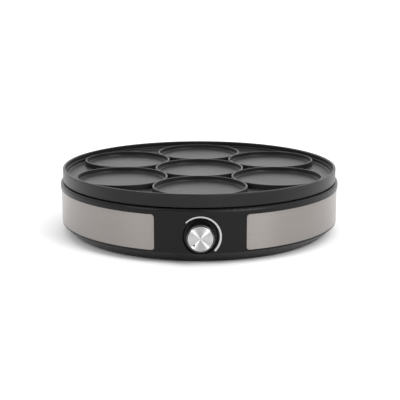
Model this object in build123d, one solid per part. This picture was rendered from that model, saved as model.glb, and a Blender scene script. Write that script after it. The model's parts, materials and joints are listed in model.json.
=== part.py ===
from build123d import *
import os
from math import asin, cos, degrees, pi, radians, sin, sqrt, tan

# Electric griddle: a round base with a tubular heating element, a thermostat knob on
# its front and a lift-off cast plate with seven round wells.
# Millimetres, +Z up, origin on the floor under the middle of the round base.
# The knob faces -Y and the cord gland faces +Y.

# ---- base housing ----
wall_radius = 190.5
skirt_inset = 12.5
skirt_extra = 0.5
band_overhang = 1.3
band_height = 8.1
band_top = 70.3
band_round = 3.0
edge_height = 3.0
skirt_top = 16.5
skirt_lip = 2.0
wall_thickness = 2.9
deck_thickness = 4.0
deck_edge = 7.0
ledge_drop = 1.0
ledge_width = 10.3
boss_wall = 2.6
rib_thickness = 2.5
fit_gap = 0.1
screw_gap = 0.05

# ---- steel panels ----
window_half_width = 57.0
panel_thickness = 0.8
panel_recess = 0.5
panel_corner = 4.0
panel_margin = 0.25
pin_radius = 1.5
pin_angles = (-50, 0, 50)
pin_tail = 3.5
push_nut_radius = 5.0
push_nut_thickness = 0.78

# ---- knob, its recess and the scale ----
knob_height = 35.6
knob_radius = 17.5
knob_length = 12.0
knob_round = 1.8
knob_wall = 2.3
knob_face = 3.2
knob_hub_wall = 2.6
knob_gap = 0.8
recess_gap = 3.0
recess_flare = 2.5
recess_depth = 3.0
recess_floor_wall = 3.0
recess_backing = 3.0
cap_border = 2.1
cap_thickness = 1.2
cap_proud = 0.5
dot_radius = 1.25
dot_depth = 0.5
dot_share = 0.71
off_angle = 225
scale_gap = 2.0
scale_start_width = 1.5
scale_end_width = 2.5
scale_start_angle = 135
scale_sweep = 180
scale_depth = 0.3
scale_proud = 0.08

# ---- thermostat ----
shaft_radius = 3.0
shaft_flat = 1.6
shaft_step = 0.5
running_gap = 0.05
case_width = 34.0
case_height = 32.0
case_depth = 12.5
case_front = 2.5
case_cavity = 11.0
case_corner = 3.0
bush_wall = 1.5
bush_length = 5.5
nut_rim = 2.0
nut_thickness = 2.5
bracket_width = 62.0
bracket_height = 24.0
bracket_thickness = 1.5
bracket_inset = 14.5
bracket_screw_spacing = 50.0
base_depth = 12.0
tab_drop = 8.0
blade_width = 6.3
blade_thickness = 0.8
blade_length = 17.0
blade_sunk = 9.0
cam_rim = 3.0
cam_thickness = 3.0
lug_gap = 1.5
lug_half_angle = 8.0
stop_half_angle = 35.5
spring_thickness = 0.4
spring_gap = 0.07

# ---- pan and heating element ----
pan_sheet = 0.8
pan_depth = 15.3
pan_round = 4.0
pan_lip_round = 0.6
pan_wall_gap = 0.9
element_radius = 3.3
element_gap = 6.5
element_outer_loop = 118.0
element_inner_loop = 78.0
element_turn_angle = 68.0
element_lead_bend = 9.0
element_lead_x = 13.0
element_lead_drop = 16.0
element_gap_fit = 0.02
bushing_wall = 1.7
bushing_flange = 2.0
bushing_flange_height = 1.5
bushing_thread = 6.0
element_nut_height = 3.5
element_pin_radius = 1.2
element_pin_length = 14.0
bead_length = 3.5
bracket_bar = 1.2
bar_overlap = 6.0
bar_foot = 8.0
bar_notch_gap = 0.08
bar_angles = (8, 172, -42, -138)

# ---- griddle plate ----
plate_inset = 3.4
plate_gap = 1.7
plate_height = 16.5
plate_draft = 0.1
plate_depth = 10.7
plate_web = 3.8
rim_wall = 3.5
rim_round = 1.3
rim_ledge = 1.8
rim_ledge_depth = 6.0
rim_ledge_round = 0.8
rim_draft = 0.6
rim_land = 2.9
face_round = 2.5
rib_width = 2.2
rib_foot = 0.8
rib_height = 6.9
rib_round = 0.8
well_round = 3.0
outer_wells = 6

# ---- studs, cover, feet and screws ----
stud_radius = 4.0
stud_stem_radius = 2.0
stud_stem_length = 12.0
stud_clearance = 0.5
cover_gap = 0.6
cover_thickness = 2.0
cover_height = 4.4
cover_screws = 6
cover_screw_inset = 6.0
screw_radius = 1.7
screw_head_radius = 3.2
screw_head_height = 2.0
screw_slot = 0.7
boss_top = 30.0
foot_inset = 27.0
foot_radius = 10.0
foot_stem_radius = 3.0
foot_barb = 1.2
foot_barb_height = 3.0
vent_length = 22.0
vent_width = 3.2
vent_rows = ((40, 10), (68, 18), (96, 24))

# ---- cord gland and wiring ----
gland_height = 30.0
gland_bore = 3.6
gland_barrel = 6.4
gland_flange = 8.5
gland_flange_height = 2.2
gland_seat = 0.4
gland_nose = 10.0
gland_taper = 1.2
gland_tail = 7.0
gland_nut_flats = 17.0
block_setback = 37.6
block_width = 38.0
block_depth = 20.0
block_height = 16.0
pole_spacing = 11.0
pole_bore = 3.2
clamp_radius = 3.1
clamp_bore = 2.0
clamp_screw_radius = 1.6
clamp_screw_offset = 5.0
wire_radius = 1.3
wire_entry = 3.0
crimp_bore = 1.4
crimp_radius = 2.2
crimp_length = 7.0
sensor_radius = 3.0
sensor_length = 40.0
sensor_gap = 0.3
sensor_place = (-50.0, -30.0)
capillary_radius = 0.8
capillary_x = -8.0
fuse_place = (60.0, 0.0)
fuse_radius = 1.9
fuse_length = 12.0
fuse_lead_radius = 0.6
fuse_lead_reach = 3.0
sleeve_length = 30.0
splice_length = 8.0
clip_sheet = 0.8
clip_width = 8.0
clip_ear = 4.0
clip_screw_offset = 9.5
clip_screw_radius = 1.4
earth_place = (-40.0, 90.0)
earth_ring_radius = 4.0
earth_ring_thickness = 1.0
earth_washer_thickness = 1.2

# ---- places that follow from the sizes above ----
bottom_radius = wall_radius - skirt_inset
band_radius = wall_radius + band_overhang
band_bottom = band_top - band_height
inner_radius = wall_radius - wall_thickness
deck_bottom = band_top - deck_thickness
ledge_height = band_top - ledge_drop
ledge_radius = band_radius - deck_edge
deck_hole = ledge_radius - ledge_width
panel_middle = (skirt_top + band_bottom) / 2
half_window_angle = degrees(asin(window_half_width / wall_radius))

plate_radius = band_radius - plate_inset
plate_bottom = band_top + plate_gap
plate_top = plate_bottom + plate_height
plate_face = plate_top - plate_depth
plate_under = plate_face - plate_web
skirt_inner = plate_radius - rim_wall
face_radius = skirt_inner - rim_ledge
crest_radius = (face_radius - rim_land + rib_width) / 3
well_mouth = crest_radius - rib_width
well_radius = well_mouth - rib_foot
well_pitch = 2 * crest_radius - rib_width
rib_top = plate_face + rib_height

pan_radius = deck_hole - pan_wall_gap
pan_lip_radius = ledge_radius - fit_gap
pan_floor = ledge_height - pan_depth
pan_inside_floor = pan_floor + pan_sheet
under_pan = pan_floor - sensor_radius - sensor_gap
element_height = plate_under - element_gap
element_lead_end = pan_floor - element_lead_drop
element_pin_end = element_lead_end - element_pin_length
bushing_radius = element_radius + bushing_wall
stud_circle = skirt_inner - stud_clearance - stud_radius
stud_foot = ledge_height - stud_stem_length

cap_radius = knob_radius - cap_border
recess_radius = knob_radius + recess_gap
scale_radius = recess_radius + recess_flare + scale_gap
recess_floor = wall_radius - recess_depth
knob_back = recess_floor + knob_gap
knob_front = knob_back + knob_length
bush_radius = shaft_radius + bush_wall
bracket_front = wall_radius - bracket_inset
case_face = bracket_front - bracket_thickness
case_back = case_face - case_depth
base_back = case_back - base_depth
tab_height = knob_height - tab_drop
tab_depth = case_back - base_depth / 2

cover_radius = bottom_radius - wall_thickness - cover_gap
cover_top = cover_height + cover_thickness
cover_screw_circle = cover_radius - cover_screw_inset
foot_circle = cover_radius - foot_inset
block_place = inner_radius - block_setback
gland_face = wall_radius - gland_seat
fuse_reach = sleeve_length / 2 + fuse_lead_reach
earth_under = pan_floor - earth_washer_thickness - earth_ring_thickness

FRONT = Pos(0, 0, knob_height) * Rot(90, 0, 0)
REAR = Pos(0, 0, gland_height) * Rot(-90, 0, 0)


# ---- shared shapes ----
def rod(radius, low, high):
    return Pos(0, 0, low) * extrude(Circle(radius), high - low)


def pipe(bore, radius, low, high):
    return Pos(0, 0, low) * extrude(Circle(radius) - Circle(bore), high - low)


def slab(width, depth, low, high, corner=0.0):
    outline = RectangleRounded(width, depth, corner) if corner else Rectangle(width, depth)
    return Pos(0, 0, low) * extrude(outline, high - low)


def turned(*outline):
    """A solid turned about Z from an outline of (radius, height) points."""
    return revolve(Rot(90, 0, 0) * Polygon(*outline, align=None), Axis.Z)


def sector(angle_low, angle_high, reach, low, high):
    """A wedge about Z, its sides at the two angles, wider than the part it cuts."""
    angles = [angle_low + (angle_high - angle_low) * step / 6 for step in range(7)]
    rim = [(reach * cos(radians(a)), reach * sin(radians(a))) for a in angles]
    return Pos(0, 0, low) * extrude(Polygon((0, 0), *rim, align=None), high - low)


def ring_edges(solid, radius, height):
    """The round edges of a turned solid at one radius and height."""
    circles = solid.edges().filter_by(GeomType.CIRCLE)
    return circles.filter_by(
        lambda e: abs(e.radius - radius) < 0.01 and abs(e.center().Z - height) < 0.01
    )


def around(piece, angles, radius=0.0):
    return [Rot(0, 0, angle) * Pos(radius, 0, 0) * piece for angle in angles]


def even_angles(count, first):
    return [first + 360 * step / count for step in range(count)]


def screw(radius, length, head_radius, head_height):
    """A screw along Z whose head stands on z = 0 and whose shank runs down from it."""
    head = rod(head_radius, 0, head_height)
    head = fillet(head.edges().group_by(Axis.Z)[-1], head_height * 0.45)
    slot = Pos(0, 0, head_height) * Box(head_radius * 1.3, screw_slot, head_height * 0.8)
    return head + rod(radius, -length, 0) - slot - Rot(0, 0, 90) * slot


def nut(flats, bore, low, high):
    hexagon = RegularPolygon(flats / 2, 6, major_radius=False)
    return Pos(0, 0, low) * extrude(hexagon - Circle(bore), high - low)


def wire_along(name, radius, points):
    """A round wire along straight runs joined by tangent arcs."""
    stops = [Vector(*p) for p in points]
    bends = []
    for before, here, after in zip(stops, stops[1:], stops[2:]):
        turn = radians((here - before).get_angle(after - here))
        shorter = min((here - before).length, (after - here).length)
        bends.append(0.45 * shorter / tan(turn / 2))
    path = FilletPolyline(*stops, radius=bends)
    wire = sweep(Plane(origin=path @ 0, z_dir=path % 0) * Circle(radius), path=path)
    share = wire.volume / (pi * radius**2 * path.length)
    print(name, "bends", [round(b, 1) for b in bends], "volume share", round(share, 4))
    return wire


def save(name, *pieces):
    solids = [solid for piece in pieces for solid in piece.solids()]
    export_step(solids[0] if len(solids) == 1 else Compound(solids), f"parts/{name}.step")


# ---- base ----
def panel_shape(inner, outer, grow):
    """The right panel's bent sheet with rounded corners, grown all round by grow."""
    low = skirt_top + panel_margin - grow
    high = band_bottom - panel_margin + grow
    end_angle = 90 - half_window_angle + degrees(grow / wall_radius)
    patch_width = 40.0
    patch_turn = degrees(patch_width / 2 / wall_radius)
    corner = panel_corner + grow
    sheet = pipe(inner, outer, low, high)
    middle = sheet & sector(-end_angle + patch_turn, end_angle - patch_turn, 2 * outer, low, high)
    patch = extrude(RectangleRounded(patch_width, high - low, corner), 2 * outer)
    for side in (-1, 1):
        place = Rot(0, 0, side * (end_angle - patch_turn)) * Pos(0, 0, (low + high) / 2)
        middle += sheet & (place * Rot(0, 0, 90) * Rot(90, 0, 0) * patch)
    return middle


def panel_pins():
    pin = rod(pin_radius, inner_radius - pin_tail, wall_radius - panel_recess)
    return around(Pos(0, 0, panel_middle) * Rot(0, 90, 0) * pin, pin_angles)


def steel_panel():
    sheet = wall_radius - panel_recess
    panel = panel_shape(sheet, sheet + panel_thickness, 0)
    for pin in panel_pins():
        panel += pin
    return panel


def push_nuts():
    """Spring washers on the panels' pins, flat against the curved inside of the wall."""
    seat = sqrt(inner_radius**2 - push_nut_radius**2) - screw_gap
    washer = pipe(pin_radius + screw_gap, push_nut_radius, seat - push_nut_thickness, seat)
    right = around(Pos(0, 0, panel_middle) * Rot(0, 90, 0) * washer, pin_angles)
    return right + [Rot(0, 0, 180) * one for one in right]


def scale_band():
    """The tapered arc round the knob, flat, seen from the front with X to the right."""
    corners = []
    for side in (1, -1):
        line = []
        for step in range(3):
            angle = radians(scale_start_angle - scale_sweep * step / 2)
            width = scale_start_width + (scale_end_width - scale_start_width) * step / 2
            radius = scale_radius + side * width / 2
            line.append((radius * cos(angle), radius * sin(angle)))
        corners.append(line)
    outside, inside = corners
    return make_face([
        ThreePointArc(*outside),
        Line(outside[2], inside[2]),
        ThreePointArc(*reversed(inside)),
        Line(inside[0], outside[0]),
    ])


def scale_solid(reach):
    near = wall_radius - (scale_radius + scale_end_width)**2 / wall_radius
    block = FRONT * Pos(0, 0, near) * extrude(scale_band(), wall_radius + 2 - near)
    return block & pipe(wall_radius - scale_depth, reach, 0, band_top)


def stud_places():
    return even_angles(4, 45)


def housing_shell():
    """The ring of the housing: skirt, wall, band, deck and the ledge for the pan."""
    outside = housing_outside()
    skirt_wall = wall_thickness + skirt_extra
    inner_skirt_top = skirt_top + skirt_extra * 3
    return outside - turned(
        (0, edge_height - 1), (bottom_radius - skirt_wall, edge_height - 1),
        (bottom_radius - skirt_wall, edge_height), (inner_radius, inner_skirt_top),
        (inner_radius, deck_bottom), (deck_hole, deck_bottom), (deck_hole, band_top + 1),
        (0, band_top + 1)) - pipe(deck_hole - 1, ledge_radius, ledge_height, band_top + 1)


def housing_outside():
    outside = turned(
        (0, edge_height), (bottom_radius, edge_height), (wall_radius, skirt_top - skirt_lip),
        (wall_radius, band_bottom), (band_radius, band_bottom), (band_radius, band_top),
        (0, band_top))
    return fillet(ring_edges(outside, band_radius, band_top), band_round)


def housing():
    outside = housing_outside()
    shell = housing_shell()

    # the dished recess for the knob, with a floor of its own behind it
    recess_mouth = recess_radius + recess_flare
    floor_back = recess_floor - recess_floor_wall
    shell += FRONT * rod(recess_mouth + recess_backing, floor_back, wall_radius) & outside
    flare = recess_flare / recess_depth
    dish = Cone(recess_radius, recess_radius + flare * 12, 12, align=(Align.CENTER, Align.CENTER, Align.MIN))
    shell -= FRONT * Pos(0, 0, recess_floor) * dish
    for side in (-1, 1):
        post = FRONT * Pos(side * bracket_screw_spacing / 2, 0, 0)
        shell += post * rod(screw_radius + boss_wall, bracket_front, recess_floor - 1)
        shell -= post * rod(screw_radius + screw_gap, bracket_front - 1, floor_back + 1)
    shell -= FRONT * rod(bush_radius, bracket_front, wall_radius)

    # recesses for the panels and the scale, and the holes for the panel pins
    for turn in (0, 180):
        shell -= Rot(0, 0, turn) * panel_shape(wall_radius - panel_recess, band_radius + 1, 0.15)
        for pin in panel_pins():
            shell -= Rot(0, 0, turn) * pin
    shell -= scale_solid(wall_radius + 1)

    # bosses for the cover screws, each with a rib to the wall
    reach = inner_radius + 1 - cover_screw_circle
    for angle in even_angles(cover_screws, 0):
        boss = Rot(0, 0, angle) * Pos(cover_screw_circle, 0, 0)
        rib = boss * Pos(reach / 2, 0, 0) * slab(reach, rib_thickness, skirt_top - 4, boss_top)
        shell += boss * rod(screw_radius + boss_wall, cover_top, boss_top)
        shell += rib & outside
        shell -= boss * rod(screw_radius + screw_gap, cover_top - 1, boss_top - 2)

    # bosses under the deck for the plate studs
    for angle in stud_places():
        boss = Rot(0, 0, angle) * Pos(stud_circle, 0, 0)
        shell += boss * rod(stud_stem_radius + boss_wall, stud_foot, deck_bottom)
        shell -= boss * rod(stud_stem_radius + screw_gap, stud_foot - 1, band_top)

    # the gland's hole and its flat seat on the rear wall
    shell -= REAR * rod(gland_barrel + fit_gap, inner_radius - 5, wall_radius + 1)
    shell -= REAR * rod(gland_flange + 0.6, gland_face, wall_radius + 1)
    return shell


def bottom_cover():
    cover = rod(cover_radius, cover_height, cover_top)
    cover = chamfer(cover.edges().group_by(Axis.Z)[0], 0.6)
    screw_hole = rod(screw_radius + fit_gap, 0, cover_top + 1)
    for hole in around(screw_hole, even_angles(cover_screws, 0), cover_screw_circle):
        cover -= hole
    foot_hole = rod(foot_stem_radius + screw_gap, 0, cover_top + 1)
    for hole in around(foot_hole, even_angles(4, 45), foot_circle):
        cover -= hole
    slot = Pos(0, 0, cover_height - 1) * extrude(SlotOverall(vent_length, vent_width), cover_thickness + 2)
    for row, count in vent_rows:
        for vent in around(slot, even_angles(count, 180 / count), row):
            cover -= vent
    for hole in at_block_screws(rod(screw_radius + screw_gap, 0, cover_top + 1)):
        cover -= hole
    return cover


def rubber_feet():
    foot = rod(foot_radius, 0, cover_height)
    foot = chamfer(foot.edges().group_by(Axis.Z)[0], 0.8)
    foot += rod(foot_stem_radius, cover_height, cover_top)
    barb = foot_stem_radius + foot_barb
    foot += turned(
        (0, cover_top), (barb, cover_top), (barb, cover_top + 0.8),
        (foot_stem_radius - 0.6, cover_top + foot_barb_height), (0, cover_top + foot_barb_height))
    return around(foot, even_angles(4, 45), foot_circle)


def cover_screw_group():
    length = cover_thickness + 10
    one = Pos(0, 0, cover_height) * Rot(180, 0, 0) * screw(
        screw_radius, length, screw_head_radius, screw_head_height)
    return around(one, even_angles(cover_screws, 0), cover_screw_circle)


# ---- pan, studs and heating element ----
def lead_start_angle():
    return degrees(asin((element_lead_x + element_lead_bend) / element_outer_loop))


def lead_place(side):
    """Where a lead of the element runs down through the pan, as (x, y)."""
    angle = radians(-90 + lead_start_angle())
    x = element_outer_loop * cos(angle) + element_lead_bend * sin(angle)
    y = element_outer_loop * sin(angle) - element_lead_bend * cos(angle)
    return side * x, y


def at_leads(piece):
    return [Pos(*lead_place(side), 0) * piece for side in (1, -1)]


def lead_bend(side):
    angle = radians(-90 + side * lead_start_angle())
    centre = Vector(element_outer_loop * cos(angle), element_outer_loop * sin(angle), 0)
    along = Vector(-sin(angle), cos(angle), 0) * side
    up = Vector(0, 0, 1)
    hub = centre + up * (element_height - element_lead_bend)
    half = element_lead_bend * sqrt(0.5)
    low = hub - along * element_lead_bend
    middle = hub - along * half + up * half
    high = hub + up * element_lead_bend
    foot = Vector(low.X, low.Y, element_lead_end)
    return [Line(foot, low), ThreePointArc(low, middle, high)]


def element_path():
    z = element_height
    turn = (element_outer_loop - element_inner_loop) / 2
    middle = (element_outer_loop + element_inner_loop) / 2
    theta = element_turn_angle
    first = -90 + lead_start_angle()
    right = Vector(middle * cos(radians(theta)), middle * sin(radians(theta)), z)
    left = Vector(-right.X, right.Y, z)
    loops = [
        CenterArc((0, 0, z), element_outer_loop, first, theta - first),
        CenterArc(right, turn, theta, 180),
        CenterArc((0, 0, z), element_inner_loop, 180 - theta, 2 * theta + 180),
        CenterArc(left, turn, 360 - theta, 180),
        CenterArc((0, 0, z), element_outer_loop, 180 - theta, theta - first),
    ]
    return Wire(lead_bend(1) + loops + lead_bend(-1))


def heating_element():
    path = element_path()
    start = Vector(*lead_place(1), element_lead_end)
    tube = sweep(Plane(origin=start, z_dir=(0, 0, 1)) * Circle(element_radius), path=path)
    print("heating_element volume share", round(tube.volume / (pi * element_radius**2 * path.length), 4))
    return tube


def element_bushings():
    bore = element_radius + element_gap_fit
    bushing = pipe(bore, bushing_radius, pan_floor - bushing_thread, pan_inside_floor)
    flange_top = pan_inside_floor + bushing_flange_height
    bushing += pipe(bore, bushing_radius + bushing_flange, pan_inside_floor, flange_top)
    return at_leads(bushing)


def element_nuts():
    flats = 2 * (bushing_radius + nut_rim)
    return at_leads(nut(flats, bushing_radius + screw_gap, pan_floor - element_nut_height, pan_floor))


def element_beads():
    bore = element_pin_radius + screw_gap
    return at_leads(pipe(bore, element_radius, element_lead_end - bead_length, element_lead_end))


def element_pins():
    return at_leads(rod(element_pin_radius, element_pin_end, element_lead_end))


def element_brackets():
    """Upright bars across both loops, notched for the tube, each with a foot on the pan."""
    base = pan_inside_floor
    inner = element_inner_loop - bar_overlap
    outer = element_outer_loop + bar_overlap
    middle = Pos((inner + outer) / 2, 0, 0)
    foot = slab(outer - inner - 2 * bar_overlap, bar_foot, base, base + bracket_bar)
    bar = middle * slab(outer - inner, bracket_bar, base, element_height)
    bar += middle * Pos(0, (bar_foot - bracket_bar) / 2, 0) * foot
    for loop in (element_inner_loop, element_outer_loop):
        notch = Rot(90, 0, 0) * Cylinder(element_radius + bar_notch_gap, 4 * bracket_bar)
        bar -= Pos(loop, 0, element_height) * notch
    return around(bar, bar_angles)


def reflector_pan():
    inside = pan_radius - pan_sheet
    lip_top = ledge_height + pan_sheet
    pan = turned(
        (0, pan_floor), (pan_radius, pan_floor), (pan_radius, ledge_height),
        (pan_lip_radius, ledge_height), (pan_lip_radius, lip_top), (inside, lip_top),
        (inside, pan_inside_floor), (0, pan_inside_floor))
    pan = fillet(ring_edges(pan, pan_radius, pan_floor), pan_round + pan_sheet)
    pan = fillet(ring_edges(pan, inside, pan_inside_floor), pan_round)
    pan = fillet(ring_edges(pan, inside, lip_top), pan_lip_round)
    for angle in stud_places():
        stem = Pos(stud_circle, 0, 0) * rod(stud_stem_radius + fit_gap, pan_floor, band_top + 1)
        pan -= Rot(0, 0, angle) * stem
    for hole in at_leads(rod(bushing_radius + screw_gap, pan_floor - 1, pan_floor + 2)):
        pan -= hole
    for x, y in clip_screw_places():
        pan -= Pos(x, y, 0) * rod(clip_screw_radius + screw_gap, pan_floor - 1, pan_floor + 2)
    pan -= Pos(*earth_place, 0) * rod(screw_radius + screw_gap, pan_floor - 1, pan_floor + 2)
    return pan


def plate_studs():
    low = ledge_height + pan_sheet
    stud = rod(stud_radius, low, plate_under)
    stud = chamfer(stud.edges().group_by(Axis.Z)[-1], 0.5)
    stud += rod(stud_stem_radius, stud_foot + 1, low)
    return around(stud, stud_places(), stud_circle)


# ---- thermostat, on the axis of the knob ----
def at_bracket_screws(piece):
    return [Pos(side * bracket_screw_spacing / 2, 0, 0) * piece for side in (-1, 1)]


def thermostat_bracket():
    plate = slab(bracket_width, bracket_height, case_face, bracket_front, case_corner)
    plate -= rod(bush_radius + fit_gap, case_face - 1, bracket_front + 1)
    for hole in at_bracket_screws(rod(screw_radius + fit_gap, case_face - 1, bracket_front + 1)):
        plate -= hole
    return FRONT * plate


def bracket_screws():
    one = screw(screw_radius, bracket_thickness + 5.5, screw_head_radius, screw_head_height)
    return [FRONT * Pos(0, 0, case_face) * Rot(180, 0, 0) * each for each in at_bracket_screws(one)]


def thermostat_case():
    inner_face = case_face - case_front
    case = slab(case_width, case_height, case_back, case_face, case_corner)
    case -= rod(case_cavity, case_back - 1, inner_face)
    stop = pipe(case_cavity - 4, case_cavity + 1, inner_face - 4, inner_face)
    case += stop & sector(270 - stop_half_angle, 270 + stop_half_angle, 30, case_back, case_face)
    case += rod(bush_radius, case_face, case_face + bush_length)
    case -= rod(shaft_radius + running_gap, case_back - 1, case_face + bush_length + 1)
    return FRONT * case


def thermostat_nut():
    flats = 2 * (bush_radius + nut_rim)
    return FRONT * nut(flats, bush_radius + screw_gap, bracket_front, bracket_front + nut_thickness)


def thermostat_base():
    base = slab(case_width, case_height, base_back, case_back, case_corner)
    base -= rod(shaft_radius - shaft_step + running_gap, case_back - 4.5, case_back + 1)
    pocket = Box(2 * blade_sunk, blade_thickness + fit_gap, blade_width + fit_gap)
    for side in (-1, 1):
        base -= Pos(side * case_width / 2, -tab_drop, tab_depth) * pocket
    capillary = rod(capillary_radius + screw_gap, base_back - 1, base_back + 5)
    base -= Pos(capillary_x, tab_drop, 0) * capillary
    return FRONT * base


def thermostat_tabs():
    blade = Box(blade_length, blade_thickness, blade_width)
    middle = case_width / 2 - blade_sunk + blade_length / 2
    return [FRONT * Pos(side * middle, -tab_drop, tab_depth) * blade for side in (-1, 1)]


def thermostat_shaft():
    front = knob_front - knob_face + 0.2
    shaft = rod(shaft_radius, case_back + 1, front)
    shaft = chamfer(shaft.edges().group_by(Axis.Z)[-1], 0.4)
    shaft += rod(shaft_radius - shaft_step, case_back - 4.2, case_back + 2)
    cam_top = case_face - case_front - 0.3
    shaft += rod(shaft_radius + cam_rim, cam_top - cam_thickness, cam_top)
    lug = rod(case_cavity - lug_gap, cam_top - cam_thickness, cam_top)
    shaft += lug & sector(off_angle - lug_half_angle, off_angle + lug_half_angle, 30, 0, cam_top)
    flat = Pos(0, shaft_flat + shaft_radius, front) * Box(
        4 * shaft_radius, 2 * shaft_radius, 2 * (front - knob_back - 1))
    return FRONT * (shaft - Rot(0, 0, off_angle - 90) * flat)


# ---- knob, on the same axis ----
def knob_body():
    knob = rod(knob_radius, knob_back, knob_front)
    knob = fillet(knob.edges().group_by(Axis.Z)[-1], knob_round)
    knob -= rod(cap_radius + fit_gap, knob_front - cap_thickness + cap_proud, knob_front + 1)
    hub_radius = shaft_radius + knob_hub_wall
    knob -= pipe(hub_radius, knob_radius - knob_wall, knob_back - 1, knob_front - knob_face)
    bore_end = knob_front - knob_face + 0.4
    bore = rod(shaft_radius + 0.03, knob_back - 1, bore_end)
    key_face = shaft_flat + spring_thickness + 2 * spring_gap
    key = Pos(0, key_face + shaft_radius, bore_end) * Box(
        4 * shaft_radius, 2 * shaft_radius, 2 * (bore_end - knob_back - 2))
    knob -= bore - Rot(0, 0, off_angle - 90) * key
    return FRONT * knob


def knob_spring():
    """The leaf between the shaft's flat and the knob's bore."""
    middle = shaft_flat + spring_gap + spring_thickness / 2
    strip = Pos(0, middle, knob_front - 6.6) * Box(1.2 * shaft_radius, spring_thickness, 6.0)
    return FRONT * Rot(0, 0, off_angle - 90) * strip


def dot_place():
    return Rot(0, 0, off_angle) * Pos(cap_radius * dot_share, 0, 0)


def knob_cap():
    top = knob_front + cap_proud
    cap = rod(cap_radius, top - cap_thickness, top)
    cap = chamfer(cap.edges().group_by(Axis.Z)[-1], 0.4)
    cap -= dot_place() * rod(dot_radius, top - dot_depth, top + 1)
    return FRONT * cap


def knob_pointer():
    top = knob_front + cap_proud
    return FRONT * dot_place() * rod(dot_radius, top - dot_depth, top + 0.05)


# ---- griddle plate ----
def plate_blank():
    """The cast disc with its rim and the step inside the rim, before the wells."""
    ledge_top = plate_top - rim_ledge_depth
    plate = turned(
        (0, plate_under), (skirt_inner, plate_under), (skirt_inner, plate_bottom),
        (plate_radius - plate_draft, plate_bottom), (plate_radius, plate_top),
        (skirt_inner, plate_top), (skirt_inner, ledge_top), (face_radius, ledge_top),
        (face_radius - rim_draft, plate_face), (0, plate_face))
    plate = fillet(ring_edges(plate, plate_radius, plate_top), rim_round)
    plate = fillet(ring_edges(plate, skirt_inner, plate_top), rim_round)
    plate = fillet(ring_edges(plate, face_radius, ledge_top), rim_ledge_round)
    return fillet(ring_edges(plate, face_radius - rim_draft, plate_face), face_round)


def well_places():
    return [Pos(0, 0, 0)] + [Rot(0, 0, a) * Pos(well_pitch, 0, 0) for a in even_angles(outer_wells, 30)]


def griddle_plate():
    """Seven wells, each inside its own raised ring; neighbouring rings share their wall."""
    mound = turned(
        (0, plate_face - 1), (crest_radius + rib_foot, plate_face - 1),
        (crest_radius + rib_foot, plate_face), (crest_radius, rib_top), (0, rib_top))
    mound = fillet(ring_edges(mound, crest_radius, rib_top), rib_round)
    well = turned((0, plate_face), (well_radius, plate_face), (well_mouth, rib_top), (0, rib_top))
    well = fillet(ring_edges(well, well_radius, plate_face), well_round)
    well += rod(well_mouth, rib_top, rib_top + 1)
    plate = plate_blank()
    for place in well_places():
        plate += place * mound
    for place in well_places():
        plate -= place * well
    return fillet(ring_edges(plate, well_mouth, rib_top), rib_round)


# ---- gland, terminal block, clips ----
def cord_gland():
    collar = gland_face + gland_flange_height
    tip = wall_radius + gland_nose
    gland = pipe(gland_bore, gland_barrel, inner_radius - gland_tail, gland_face)
    gland += pipe(gland_bore, gland_flange, gland_face, collar)
    gland += turned(
        (gland_bore, collar), (gland_barrel, collar), (gland_barrel - gland_taper, tip),
        (gland_bore, tip))
    return REAR * gland


def gland_nut():
    """The nut inside the wall, its corners just clear of the curve."""
    corner = gland_nut_flats / sqrt(3)
    seat = sqrt(inner_radius**2 - corner**2) - screw_gap
    return REAR * nut(gland_nut_flats, gland_barrel + screw_gap, seat - 4.0, seat)


def pole_places():
    return [Pos(step * pole_spacing, block_place, cover_top + block_height / 2) for step in (-1, 0, 1)]


def terminal_screw_places():
    offsets = (-clamp_screw_offset, clamp_screw_offset)
    return [pole * Pos(0, y, 0) for pole in pole_places() for y in offsets]


def at_block_screws(piece):
    return [Pos(side * pole_spacing / 2, block_place, 0) * piece for side in (-1, 1)]


def terminal_block():
    block_top = cover_top + block_height
    block = Pos(0, block_place, 0) * slab(block_width, block_depth, cover_top, block_top, 1.5)
    for pole in pole_places():
        block -= pole * Rot(90, 0, 0) * Cylinder(pole_bore, block_depth + 2)
    for place in terminal_screw_places():
        block -= place * rod(2.5, 0, block_height)
    for hole in at_block_screws(rod(screw_radius + screw_gap, 0, block_top + 1)):
        block -= hole
    return block


def terminal_clamps():
    tube = Rot(90, 0, 0) * (Cylinder(clamp_radius, block_depth - 2) - Cylinder(clamp_bore, block_depth))
    for y in (-clamp_screw_offset, clamp_screw_offset):
        tube -= Pos(0, y, 0) * rod(clamp_screw_radius + screw_gap, 0, 2 * clamp_radius)
    return [pole * tube for pole in pole_places()]


def terminal_screws():
    top = 6.0
    shank = rod(clamp_screw_radius, clamp_bore + fit_gap, top) - Pos(0, 0, top) * Box(0.6, 4, 1.4)
    return [place * shank for place in terminal_screw_places()]


def block_screws():
    one = screw(screw_radius, block_height + cover_thickness + 1, 2.4, 1.6)
    return at_block_screws(Pos(0, 0, cover_top + block_height) * one)


def clip_screw_places():
    spots = []
    for x, y in (sensor_place, fuse_place):
        spots += [(x - clip_screw_offset, y), (x + clip_screw_offset, y)]
    return spots


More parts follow.
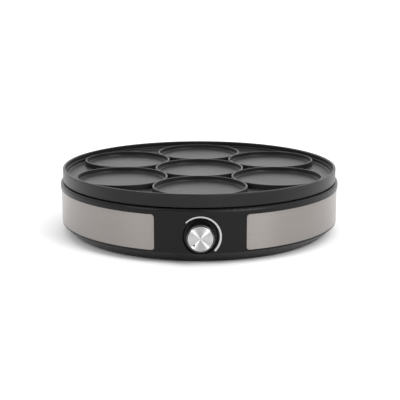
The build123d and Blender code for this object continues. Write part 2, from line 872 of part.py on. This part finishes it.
def pan_clip(place):
    """A strap under the pan that holds a round piece lying along Y."""
    drop = under_pan - pan_floor
    hollow_radius = sensor_radius + screw_gap
    outside = hollow_radius + clip_sheet
    ears = Pos(0, -clip_sheet / 2, 0) * Rectangle(2 * (clip_screw_offset + clip_ear), clip_sheet)
    strap = Pos(0, drop, 0) * Circle(outside) + Pos(0, drop / 2, 0) * Rectangle(2 * outside, -drop)
    hollow = Pos(0, drop, 0) * Circle(hollow_radius)
    hollow += Pos(0, drop / 2, 0) * Rectangle(2 * hollow_radius, -drop)
    above = Pos(0, outside, 0) * Rectangle(6 * clip_screw_offset, 2 * outside)
    clip = Pos(0, 0, -clip_width / 2) * extrude(ears + strap - hollow - above, clip_width)
    clip = Pos(*place, pan_floor) * Rot(90, 0, 0) * clip
    for side in (-1, 1):
        hole = rod(clip_screw_radius + screw_gap, 0, pan_floor)
        clip -= Pos(place[0] + side * clip_screw_offset, place[1], 0) * hole
    return clip


def clip_screws():
    length = clip_sheet + pan_sheet + 1.6
    one = Pos(0, 0, pan_floor - clip_sheet) * Rot(180, 0, 0) * screw(clip_screw_radius, length, 2.6, 1.6)
    return [Pos(x, y, 0) * one for x, y in clip_screw_places()]


def thermostat_sensor():
    """The bulb under the pan and its capillary tube, one closed copper piece."""
    x, y = sensor_place
    bulb = Pos(x, y, under_pan) * Rot(90, 0, 0) * Cylinder(sensor_radius, sensor_length)
    near = y - sensor_length / 2
    height = knob_height + tab_drop
    start = -base_back - 3
    tube = wire_along("capillary", capillary_radius, [
        (capillary_x, start, height), (capillary_x, start + 16, height),
        (-22, start + 29, height + 3), (-38, start + 44, height + 5),
        (x - 3, near - 34, under_pan - 0.5), (x, near - 16, under_pan), (x, near + 1, under_pan)])
    return bulb + tube


def under_fuse(piece):
    """A round piece along Y, under the pan on the fuse's own line."""
    return Pos(*fuse_place, under_pan) * Rot(90, 0, 0) * piece


def thermal_fuse():
    return under_fuse(Cylinder(fuse_radius, fuse_length) + Cylinder(fuse_lead_radius, 2 * fuse_reach))


def fuse_sleeve():
    bore = Cylinder(fuse_radius + screw_gap, sleeve_length + 2)
    return under_fuse(Cylinder(sensor_radius, sleeve_length) - bore)


def fuse_splices():
    splice = Cylinder(crimp_radius, splice_length) - Cylinder(crimp_bore, splice_length + 2)
    return [under_fuse(Pos(0, 0, side * (fuse_reach + 1)) * splice) for side in (-1, 1)]


def crimp_along(length):
    """A crimp barrel along +X, its bore open for a wire."""
    barrel = Cylinder(crimp_radius, length) - Cylinder(crimp_bore, length + 1)
    return Pos(length / 2, 0, 0) * Rot(0, 90, 0) * barrel


def tab_receptacles():
    """Push-on sleeves over the thermostat's two side blades."""
    reach = 8.0
    blade_end = case_width / 2 - blade_sunk + blade_length
    sleeve = Box(reach, blade_width + 2, blade_thickness + 2)
    sleeve -= Box(reach + 2, blade_width + fit_gap, blade_thickness + fit_gap)
    right = Pos(blade_end - 3, -tab_depth, tab_height) * sleeve
    right += Pos(blade_end + 1, -tab_depth, tab_height) * crimp_along(crimp_length - 1)
    return [right, mirror(right, Plane.YZ)]


def pin_receptacles():
    """Push-on flags over the element's two pins, one facing +X and one facing +Y."""
    flags = []
    for side, heading in ((1, 0), (-1, 90)):
        flag = pipe(element_pin_radius + screw_gap, 2.7, element_pin_end + 1, element_pin_end + 9)
        barrel = Rot(0, 0, heading) * Pos(crimp_radius, 0, element_pin_end + 5) * crimp_along(crimp_length)
        flags.append(Pos(*lead_place(side), 0) * (flag + barrel))
    return flags


def earth_screw():
    one = screw(screw_radius, 5, screw_head_radius, screw_head_height)
    return Pos(*earth_place, earth_under) * Rot(180, 0, 0) * one


def earth_ring():
    top = earth_under + earth_ring_thickness
    bore = screw_radius + fit_gap
    ring = pipe(bore, earth_ring_radius, earth_under, top)
    ring += Pos(0, 4.4, earth_under - 1.2) * Rot(0, 0, 90) * crimp_along(crimp_length)
    ring += Pos(0, 4.6, earth_under + earth_ring_thickness / 2) * Box(3, 3, earth_ring_thickness)
    return Pos(*earth_place, 0) * ring


def earth_washer():
    washer = pipe(screw_radius + fit_gap, earth_ring_radius, pan_floor - earth_washer_thickness, pan_floor)
    return Pos(*earth_place, 0) * washer


# ---- wires ----
def wires():
    pole_z = cover_top + block_height / 2
    block_face = block_place - block_depth / 2
    inside_block = block_face + wire_entry
    tab_x = case_width / 2 - blade_sunk + blade_length + 2
    tab_y = -tab_depth
    pin_z = element_pin_end + 5
    pin_x, pin_y = lead_place(1)
    pin_end = crimp_radius + crimp_bore
    earth_x, earth_y = earth_place
    earth_z = earth_under - 1.2
    fuse_x, fuse_y = fuse_place
    splice = fuse_reach + 0.1
    floor = cover_top + wire_radius + 0.2
    save("wire_live_in", wire_along("wire_live_in", wire_radius, [
        (-tab_x, tab_y, tab_height), (-43, tab_y, tab_height), (-62, tab_y + 16, 13),
        (-76, tab_y + 47, floor + 1), (-82, -62, floor), (-79, -8, floor), (-71, 46, floor),
        (-52, block_face - 48, floor), (-24, block_face - 24, floor + 3),
        (-pole_spacing, block_face - 10, pole_z), (-pole_spacing, inside_block, pole_z)]))
    save("wire_live_out", wire_along("wire_live_out", wire_radius, [
        (tab_x, tab_y, tab_height), (42, tab_y, tab_height), (50, tab_y + 15, tab_height + 1),
        (46, pin_y - 8, pin_z + 0.4), (34, pin_y, pin_z), (pin_x + pin_end, pin_y, pin_z)]))
    save("wire_neutral_in", wire_along("wire_neutral_in", wire_radius, [
        (pole_spacing, inside_block, pole_z), (pole_spacing, block_face - 11, pole_z - 0.5),
        (24, block_face - 34, 18), (41, 86, 27), (55, 66, 39),
        (fuse_x - 1, fuse_y + splice + 28, under_pan - 2),
        (fuse_x, fuse_y + splice + 14, under_pan), (fuse_x, fuse_y + splice, under_pan)]))
    save("wire_neutral_out", wire_along("wire_neutral_out", wire_radius, [
        (fuse_x, fuse_y - splice, under_pan), (fuse_x, fuse_y - splice - 14, under_pan),
        (fuse_x - 5, fuse_y - splice - 30, under_pan - 4), (38, -70, under_pan - 11.7),
        (14, -84, pin_z + 3), (-6, pin_y + 27, pin_z + 0.5), (-pin_x, pin_y + 16, pin_z),
        (-pin_x, pin_y + pin_end, pin_z)]))
    save("wire_earth", wire_along("wire_earth", wire_radius, [
        (0, inside_block, pole_z), (0, block_face - 9, pole_z + 1),
        (-8, block_face - 14, pole_z + 12), (-24, block_face - 10, pan_floor - 16),
        (earth_x + 3, earth_y + 32, pan_floor - 6.5), (earth_x, earth_y + 20, earth_z),
        (earth_x, earth_y + 6, earth_z)]))


os.makedirs("parts", exist_ok=True)
panel = steel_panel()
save("housing", housing())
save("bottom_cover", bottom_cover())
save("rubber_feet", *rubber_feet())
save("cover_screws", *cover_screw_group())
save("steel_panel_right", panel)
save("steel_panel_left", Rot(0, 0, 180) * panel)
save("panel_push_nuts", *push_nuts())
save("scale_arc", scale_solid(wall_radius + scale_proud))
save("reflector_pan", reflector_pan())
save("plate_studs", *plate_studs())
save("heating_element", heating_element())
save("element_brackets", *element_brackets())
save("element_bushings", *element_bushings())
save("element_nuts", *element_nuts())
save("element_beads", *element_beads())
save("element_pins", *element_pins())
save("thermostat_bracket", thermostat_bracket())
save("bracket_screws", *bracket_screws())
save("thermostat_case", thermostat_case())
save("thermostat_nut", thermostat_nut())
save("thermostat_base", thermostat_base())
save("thermostat_tabs", *thermostat_tabs())
save("thermostat_sensor", thermostat_sensor())
save("sensor_clip", pan_clip(sensor_place))
save("thermal_fuse", thermal_fuse())
save("fuse_sleeve", fuse_sleeve())
save("fuse_clip", pan_clip(fuse_place))
save("fuse_splices", *fuse_splices())
save("clip_screws", *clip_screws())
save("tab_receptacles", *tab_receptacles())
save("pin_receptacles", *pin_receptacles())
save("earth_screw", earth_screw())
save("earth_ring", earth_ring())
save("earth_washer", earth_washer())
save("cord_gland", cord_gland())
save("gland_nut", gland_nut())
save("terminal_block", terminal_block())
save("terminal_clamps", *terminal_clamps())
save("terminal_screws", *terminal_screws())
save("block_screws", *block_screws())
wires()
save("thermostat_shaft", thermostat_shaft())
save("knob_body", knob_body())
save("knob_cap", knob_cap())
save("knob_pointer", knob_pointer())
save("knob_spring", knob_spring())
save("griddle_plate", griddle_plate())
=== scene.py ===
import json
import math

import bpy
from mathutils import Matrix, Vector


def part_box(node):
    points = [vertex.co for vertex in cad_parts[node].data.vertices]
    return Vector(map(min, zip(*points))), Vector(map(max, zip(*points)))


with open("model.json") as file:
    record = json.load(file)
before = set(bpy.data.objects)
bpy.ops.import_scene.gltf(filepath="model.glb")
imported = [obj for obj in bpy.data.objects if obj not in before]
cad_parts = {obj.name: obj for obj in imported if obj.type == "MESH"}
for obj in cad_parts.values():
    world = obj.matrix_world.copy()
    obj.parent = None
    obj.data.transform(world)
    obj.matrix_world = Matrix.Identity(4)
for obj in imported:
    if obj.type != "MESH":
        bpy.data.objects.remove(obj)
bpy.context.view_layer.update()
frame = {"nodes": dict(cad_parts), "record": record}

NODES = frame["nodes"]


# ---------------------------------------------------------------- places, in metres
RIM_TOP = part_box("griddle_plate")[1].z
BASE_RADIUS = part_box("housing")[1].x
CAP_LOW, CAP_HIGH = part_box("knob_cap")
KNOB_AXIS = Vector(((CAP_LOW.x + CAP_HIGH.x) / 2, 0, (CAP_LOW.z + CAP_HIGH.z) / 2))
DISH_GAP = 0.0055
DISH_EDGE = 0.002
DISH_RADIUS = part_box("knob_body")[1].x + DISH_GAP
OBJECT_MIDDLE = (0, 0, 0.05)

# The part of a noise texture's range that most of its surface has.
NOISE_LOW, NOISE_HIGH = 0.3, 0.7


# ---------------------------------------------------------------- node helpers
class Nodes:
    """A node tree, with short calls for the nodes that it is built from."""

    def __init__(self, tree):
        self.tree = tree

    def node(self, kind, **settings):
        made = self.tree.nodes.new(kind)
        for key, value in settings.items():
            setattr(made, key, value)
        return made

    def join(self, source, target):
        self.tree.links.new(source, target)

    def fill(self, socket, value):
        if isinstance(value, bpy.types.NodeSocket):
            self.join(value, socket)
        else:
            socket.default_value = value

    def math(self, operation, first, second=0.0):
        made = self.node("ShaderNodeMath", operation=operation)
        self.fill(made.inputs[0], first)
        self.fill(made.inputs[1], second)
        return made.outputs[0]

    def split(self, vector):
        """The x, y and z of a vector."""
        made = self.node("ShaderNodeSeparateXYZ")
        self.join(vector, made.inputs[0])
        return made.outputs

    def distance(self, across, along):
        """How far a point is from an axis, from its two places across that axis."""
        squares = [self.math("MULTIPLY", place, place) for place in (across, along)]
        return self.math("SQRT", self.math("ADD", *squares))

    def band(self, value, out_low, out_high, low=NOISE_LOW, high=NOISE_HIGH):
        """A number that runs from out_low to out_high as value runs from low to high."""
        made = self.node("ShaderNodeMapRange")
        self.join(value, made.inputs["Value"])
        made.inputs["From Min"].default_value = low
        made.inputs["From Max"].default_value = high
        made.inputs["To Min"].default_value = out_low
        made.inputs["To Max"].default_value = out_high
        return made.outputs[0]


class Recipe(Nodes):
    """One procedural material on the Principled shader."""

    def __init__(self, name):
        self.material = bpy.data.materials.new(name)
        self.material.use_nodes = True
        super().__init__(self.material.node_tree)
        self.shader = self.tree.nodes["Principled BSDF"]
        self.place = self.node("ShaderNodeTexCoord").outputs["Object"]

    def gather(self, x=0.0, y=0.0, z=0.0):
        """A vector put together from three numbers or sockets."""
        made = self.node("ShaderNodeCombineXYZ")
        for socket, value in zip(made.inputs, (x, y, z)):
            self.fill(socket, value)
        return made.outputs[0]

    def stretched(self, source, scale):
        made = self.node("ShaderNodeMapping")
        self.join(source, made.inputs["Vector"])
        made.inputs["Scale"].default_value = scale
        return made.outputs[0]

    def noise(self, scale, detail=3.0, rough=0.55, source=None):
        made = self.node("ShaderNodeTexNoise")
        self.join(source or self.place, made.inputs["Vector"])
        made.inputs["Scale"].default_value = scale
        made.inputs["Detail"].default_value = detail
        made.inputs["Roughness"].default_value = rough
        return made.outputs["Fac"]

    def blend(self, first, second, share):
        """A number made of share of first and the rest of second."""
        parts = [self.math("MULTIPLY", first, share), self.math("MULTIPLY", second, 1 - share)]
        return self.math("ADD", *parts)

    def tint(self, value, first, second, low=NOISE_LOW, high=NOISE_HIGH):
        """A colour that runs from first to second as value runs from low to high."""
        ramp = self.node("ShaderNodeValToRGB")
        self.join(value, ramp.inputs[0])
        ends = zip(ramp.color_ramp.elements, (low, high), (first, second))
        for element, position, colour in ends:
            element.position = position
            element.color = (*colour, 1)
        return ramp.outputs[0]

    def mix(self, share, first, second):
        """The colour first where share is 0, and second where it is 1."""
        made = self.node("ShaderNodeMix", data_type="RGBA")
        factor, first_colour, second_colour = 0, 6, 7
        self.fill(made.inputs[factor], share)
        self.join(first, made.inputs[first_colour])
        self.join(second, made.inputs[second_colour])
        return made.outputs[2]

    def relief(self, height, depth, strength):
        made = self.node("ShaderNodeBump")
        made.inputs["Strength"].default_value = strength
        made.inputs["Distance"].default_value = depth
        self.join(height, made.inputs["Height"])
        return made.outputs[0]

    def brush(self, axis, outward):
        """Stretch highlights across scratches that run in circles round an axis."""
        cross = self.node("ShaderNodeVectorMath", operation="CROSS_PRODUCT")
        cross.inputs[0].default_value = axis
        self.join(outward, cross.inputs[1])
        along = self.node("ShaderNodeVectorMath", operation="NORMALIZE")
        self.join(cross.outputs[0], along.inputs[0])
        self.join(along.outputs[0], self.shader.inputs["Tangent"])
        quarter_turn = 0.25
        self.shader.inputs["Anisotropic Rotation"].default_value = quarter_turn

    def finish(self, colour, rough, normal=None, **fixed):
        """Join colour, roughness and relief; fixed holds other sockets' constants."""
        self.join(colour, self.shader.inputs["Base Color"])
        self.fill(self.shader.inputs["Roughness"], rough)
        if normal:
            self.join(normal, self.shader.inputs["Normal"])
        for key, value in fixed.items():
            self.shader.inputs[key.replace("_", " ")].default_value = value
        return self.material


def round_base(recipe):
    """Coordinates that run round the base: (distance round, height, radius)."""
    x, y, z = recipe.split(recipe.place)
    angle = recipe.math("ARCTAN2", y, x)
    way_round = recipe.math("MULTIPLY", angle, BASE_RADIUS)
    return recipe.gather(way_round, z, recipe.distance(x, y))


def round_knob(recipe):
    """Place across the knob's face, x and z, and the distance from its axis."""
    shifted = recipe.node("ShaderNodeMapping")
    recipe.join(recipe.place, shifted.inputs["Vector"])
    shifted.inputs["Location"].default_value = -KNOB_AXIS
    x, _, z = recipe.split(shifted.outputs[0])
    return x, z, recipe.distance(x, z)


# ---------------------------------------------------------------- materials
def nonstick():
    """Satin non-stick coating over cast aluminium, with a fine speckle and faint wear."""
    dark, dark_fleck = (0.005, 0.005, 0.0055), (0.013, 0.013, 0.0135)
    worn, worn_fleck = (0.008, 0.008, 0.008), (0.018, 0.0178, 0.0178)
    fleck_high = 0.75
    r = Recipe("nonstick")
    speckle = r.noise(scale=2600, detail=2, rough=0.6)
    cloud = r.noise(scale=18, detail=4, rough=0.5)
    fresh = r.tint(speckle, dark, dark_fleck, high=fleck_high)
    used = r.tint(speckle, worn, worn_fleck, high=fleck_high)
    colour = r.mix(r.band(cloud, 0.0, 1.0, low=0.35), fresh, used)
    rough = r.math("ADD", r.band(cloud, 0.34, 0.40), r.band(speckle, -0.03, 0.03))
    skin = r.relief(r.noise(scale=1400, detail=3, rough=0.6), depth=0.00006, strength=0.5)
    return r.finish(colour, rough, skin, Specular_IOR_Level=0.2,
                    Sheen_Weight=0.08, Sheen_Roughness=0.4)


def housing_plastic(name="housing_plastic", lift=0.0, smooth=(0.26, 0.34), gloss=0.16):
    """Satin black moulded plastic with a spark-eroded grain, polished round the knob."""
    dark, light = (0.004, 0.004, 0.0043), (0.008, 0.008, 0.0083)
    polished = 0.45
    r = Recipe(name)
    grain = r.noise(scale=2200, detail=2, rough=0.5)
    flow = r.noise(scale=9, detail=3, rough=0.5)
    colour = r.tint(r.blend(grain, flow, 0.35), [part + lift for part in dark],
                    [part + lift for part in light], low=0.35, high=0.68)
    radius = round_knob(r)[2]
    polish = r.band(radius, polished, 1.0, low=DISH_RADIUS, high=DISH_RADIUS + DISH_EDGE)
    rough = r.math("MULTIPLY", r.band(flow, *smooth), polish)
    skin = r.relief(grain, depth=0.00003, strength=0.35)
    return r.finish(colour, rough, skin, Specular_IOR_Level=gloss)


def brushed_panel():
    """Stainless sheet brushed along its length, so that the lines run round the base."""
    steel_low, steel_high = (0.228, 0.212, 0.203), (0.315, 0.294, 0.282)
    warm_low, warm_high = (0.245, 0.224, 0.211), (0.298, 0.275, 0.260)
    fine_lines, broad_lines = (22, 9000, 1), (8, 1500, 1)
    r = Recipe("brushed_panel")
    way = round_base(r)
    lines = r.noise(scale=1, detail=4, rough=0.7, source=r.stretched(way, fine_lines))
    broad = r.noise(scale=1, detail=3, rough=0.6, source=r.stretched(way, broad_lines))
    cloud = r.noise(scale=7, detail=2, rough=0.5)
    steel = r.tint(lines, steel_low, steel_high, low=0.25, high=0.8)
    warm = r.tint(broad, warm_low, warm_high, high=0.75)
    colour = r.mix(r.band(cloud, 0.25, 0.6), steel, warm)
    rough = r.band(lines, 0.30, 0.44, low=0.2, high=0.8)
    r.brush((0, 0, 1), r.place)
    skin = r.relief(lines, depth=0.00002, strength=0.35)
    return r.finish(colour, rough, skin, Metallic=1.0, Anisotropic=0.8)


def spun_cap():
    """Aluminium spun in circles round the knob's axis."""
    groove_low, groove_high = (0.44, 0.44, 0.445), (0.72, 0.72, 0.725)
    wander = 0.0004
    r = Recipe("spun_cap")
    x, z, radius = round_knob(r)
    drift = r.math("MULTIPLY", r.math("ARCTAN2", z, x), wander)
    rings = r.noise(scale=4200, detail=4, rough=0.7, source=r.gather(radius, drift))
    colour = r.tint(rings, groove_low, groove_high, high=0.75)
    rough = r.band(rings, 0.42, 0.48, low=0.2, high=0.8)
    r.brush((0, 1, 0), r.gather(x, z=z))
    skin = r.relief(rings, depth=0.00001, strength=0.3)
    return r.finish(colour, rough, skin, Metallic=1.0, Anisotropic=1.0)


def plain_metal(name, first, second, rough=(0.3, 0.45), scale=900, metallic=1.0):
    """Metal or paint with a fine grain over slow clouds."""
    r = Recipe(name)
    grain = r.noise(scale, detail=3, rough=0.6)
    cloud = r.noise(scale=25, detail=3, rough=0.5)
    colour = r.tint(r.blend(grain, cloud, 0.5), first, second, low=0.35, high=0.68)
    skin = r.relief(grain, depth=0.00002, strength=0.4)
    return r.finish(colour, r.band(cloud, *rough), skin, Metallic=metallic)


def plain_solid(name, first, second, rough=(0.5, 0.65), scale=700):
    """Rubber, ceramic, paint or wire insulation with a fine grain."""
    r = Recipe(name)
    grain = r.noise(scale, detail=3, rough=0.6)
    colour = r.tint(grain, first, second)
    skin = r.relief(grain, depth=0.00005, strength=0.5)
    return r.finish(colour, r.band(r.noise(scale=30), *rough), skin)


def element_tube():
    """Steel sheath, blued and browned by heat."""
    blue_low, blue_high = (0.12, 0.12, 0.15), (0.20, 0.20, 0.23)
    brown_low, brown_high = (0.15, 0.12, 0.09), (0.26, 0.21, 0.17)
    r = Recipe("element_tube")
    cloud = r.noise(scale=30, detail=4, rough=0.6)
    fine = r.noise(scale=1500, detail=3, rough=0.6)
    blue = r.tint(fine, blue_low, blue_high)
    brown = r.tint(fine, brown_low, brown_high)
    colour = r.mix(r.band(cloud, 0.0, 1.0, low=0.35, high=0.65), blue, brown)
    skin = r.relief(fine, depth=0.00003, strength=0.4)
    return r.finish(colour, r.band(cloud, 0.36, 0.5), skin, Metallic=0.85)


def braided_sleeve():
    """Off-white braided glass sleeve."""
    gap, thread = (0.62, 0.60, 0.54), (0.85, 0.83, 0.78)
    rough, bands_per_metre = 0.8, 700
    r = Recipe("braided_sleeve")
    wave = r.node("ShaderNodeTexWave", wave_type="BANDS", bands_direction="DIAGONAL")
    r.join(r.place, wave.inputs["Vector"])
    wave.inputs["Scale"].default_value = bands_per_metre
    weave = wave.outputs["Fac"]
    colour = r.tint(weave, gap, thread, low=0.2, high=0.8)
    skin = r.relief(weave, depth=0.0001, strength=0.6)
    return r.finish(colour, rough, skin, Sheen_Weight=0.3)


MATERIALS = {
    "black_housing": housing_plastic(),
    "black_cover": plain_metal("cover_paint", (0.020, 0.020, 0.021), (0.032, 0.032, 0.034),
                               rough=(0.45, 0.6), scale=1200, metallic=0.0),
    "black_gland": housing_plastic("gland_plastic", lift=0.004),
    "foot_rubber": plain_solid("foot_rubber", (0.018, 0.018, 0.018), (0.032, 0.031, 0.030),
                               rough=(0.7, 0.85), scale=900),
    "brushed_panel": brushed_panel(),
    "silver_scale": plain_metal("silver_foil", (0.44, 0.44, 0.445), (0.57, 0.57, 0.575),
                                rough=(0.34, 0.46), scale=1800),
    "pan_steel": plain_metal("pan_steel", (0.50, 0.50, 0.50), (0.68, 0.67, 0.66),
                             rough=(0.25, 0.42), scale=500),
    "element_tube": element_tube(),
    "zinc_steel": plain_metal("zinc_steel", (0.50, 0.50, 0.51), (0.66, 0.66, 0.66)),
    "brass": plain_metal("brass", (0.55, 0.42, 0.20), (0.72, 0.57, 0.30)),
    "copper": plain_metal("copper", (0.55, 0.28, 0.17), (0.75, 0.42, 0.28)),
    "ceramic": plain_solid("ceramic", (0.66, 0.63, 0.56), (0.80, 0.78, 0.72),
                           rough=(0.5, 0.7)),
    "sleeve_white": braided_sleeve(),
    "wire_brown": plain_solid("wire_brown", (0.13, 0.06, 0.03), (0.19, 0.09, 0.05),
                              rough=(0.35, 0.5)),
    "wire_blue": plain_solid("wire_blue", (0.02, 0.07, 0.28), (0.04, 0.11, 0.38),
                             rough=(0.35, 0.5)),
    "wire_green": plain_solid("wire_green", (0.06, 0.24, 0.04), (0.30, 0.40, 0.05),
                              rough=(0.35, 0.5), scale=60),
    "knob_black": housing_plastic("knob_plastic", smooth=(0.16, 0.22), gloss=0.8),
    "spun_cap": spun_cap(),
    "dot_black": plain_solid("dot_black", (0.003, 0.003, 0.003), (0.007, 0.007, 0.007),
                             rough=(0.5, 0.6)),
    "nonstick_coating": nonstick(),
}


def dress_nodes():
    """Give every CAD node the material of its slot in the record."""
    rows = frame["record"]["subparts"]
    slots = {row["node"]: row["material_slot"] for row in rows}
    for name, piece in NODES.items():
        piece.data.materials.clear()
        piece.data.materials.append(MATERIALS[slots[name]])


# ---------------------------------------------------------------- stage, light and camera
def make_floor():
    """A pale floor that runs on to a far, equally pale horizon."""
    reach = 14.0
    corners = [(-reach, -reach, 0), (reach, -reach, 0), (reach, reach, 0), (-reach, reach, 0)]
    mesh = bpy.data.meshes.new("floor")
    mesh.from_pydata(corners, [], [(0, 1, 2, 3)])
    floor = bpy.data.objects.new("floor", mesh)
    bpy.context.scene.collection.objects.link(floor)
    r = Recipe("floor_white")
    cloud = r.noise(scale=3, detail=2, rough=0.5)
    colour = r.tint(cloud, (0.90, 0.90, 0.90), (0.92, 0.92, 0.92))
    floor.data.materials.append(r.finish(colour, 0.9, Specular_IOR_Level=0.1))


def make_room():
    """A white room, darker towards the front, that the camera always sees as white."""
    world = bpy.data.worlds.new("studio")
    world.use_nodes = True
    room = Nodes(world.node_tree)
    way = room.node("ShaderNodeTexCoord").outputs["Generated"]
    _, y, z = room.split(way)
    behind = room.band(y, 0.36, 1.4, low=-0.9, high=0.9)
    overhead = room.band(z, 0.0, 0.4, low=0.35, high=0.9)
    glow = room.math("ADD", behind, overhead)
    seen = room.node("ShaderNodeLightPath").outputs["Is Camera Ray"]
    background = room.tree.nodes["Background"]
    background.inputs["Color"].default_value = (1, 1, 1, 1)
    room.join(room.math("MAXIMUM", seen, glow), background.inputs["Strength"])
    bpy.context.scene.world = world


def add_lamp(name, kind, facing, power):
    """A lamp at the origin that shines along facing."""
    lamp = bpy.data.lights.new(name, kind)
    lamp.energy = power
    obj = bpy.data.objects.new(name, lamp)
    obj.rotation_mode = "QUATERNION"
    obj.rotation_quaternion = Vector(facing).to_track_quat("-Z", "Y")
    bpy.context.scene.collection.objects.link(obj)
    return obj


def area_light(name, place, target, size, power):
    """A soft rectangular lamp at place, aimed at target."""
    obj = add_lamp(name, "AREA", Vector(target) - Vector(place), power)
    obj.location = place
    obj.data.shape = "RECTANGLE"
    obj.data.size, obj.data.size_y = size
    return obj


def make_light():
    """Two soft lamps in front, two that only glint on the cap, and a wide, weak sun."""
    soft_box, small_box = (0.8, 1.0), (0.42, 0.42)
    area_light("left", (-1.5, -1.3, 1.35), OBJECT_MIDDLE, soft_box, power=13)
    area_light("right", (1.5, -1.3, 1.35), OBJECT_MIDDLE, soft_box, power=20)
    cap_only = bpy.data.collections.new("cap_only")
    cap_only.objects.link(NODES["knob_cap"])
    for name, x in (("cap_lamp_left", -1.5), ("cap_lamp_right", 1.5)):
        lamp = area_light(name, (x, -1.4, 1.1), KNOB_AXIS, small_box, power=22)
        lamp.light_linking.receiver_collection = cap_only
    key = add_lamp("key", "SUN", facing=(-0.9, 0.5, -1.3), power=0.7)
    key.data.angle = math.radians(40)


def make_camera():
    """The photograph's view, solved from the plate's rim, the base and the wells."""
    distance, height_angle, turn = 1.4, math.radians(11.2), math.radians(-0.44)
    frame_pixels, focal_pixels, rim_row, rim_column = 400, 1005.0, 164.2, 199.25
    pitch = height_angle + math.atan((frame_pixels / 2 - rim_row) / focal_pixels)
    away = Vector((math.sin(turn), -math.cos(turn), 0))
    data = bpy.data.cameras.new("camera")
    data.sensor_width = 36.0
    data.lens = focal_pixels / frame_pixels * data.sensor_width
    data.shift_x = (frame_pixels / 2 - rim_column) / frame_pixels
    data.clip_start, data.clip_end = 0.05, 100.0
    camera = bpy.data.objects.new("camera", data)
    height = RIM_TOP + distance * math.sin(height_angle)
    camera.location = away * distance * math.cos(height_angle) + Vector((0, 0, height))
    look = -away * math.cos(pitch) + Vector((0, 0, -math.sin(pitch)))
    camera.rotation_mode = "QUATERNION"
    camera.rotation_quaternion = look.to_track_quat("-Z", "Y")
    bpy.context.scene.collection.objects.link(camera)
    bpy.context.scene.camera = camera
    bpy.context.scene.view_settings.view_transform = "Standard"


dress_nodes()
make_floor()
make_room()
make_light()
make_camera()
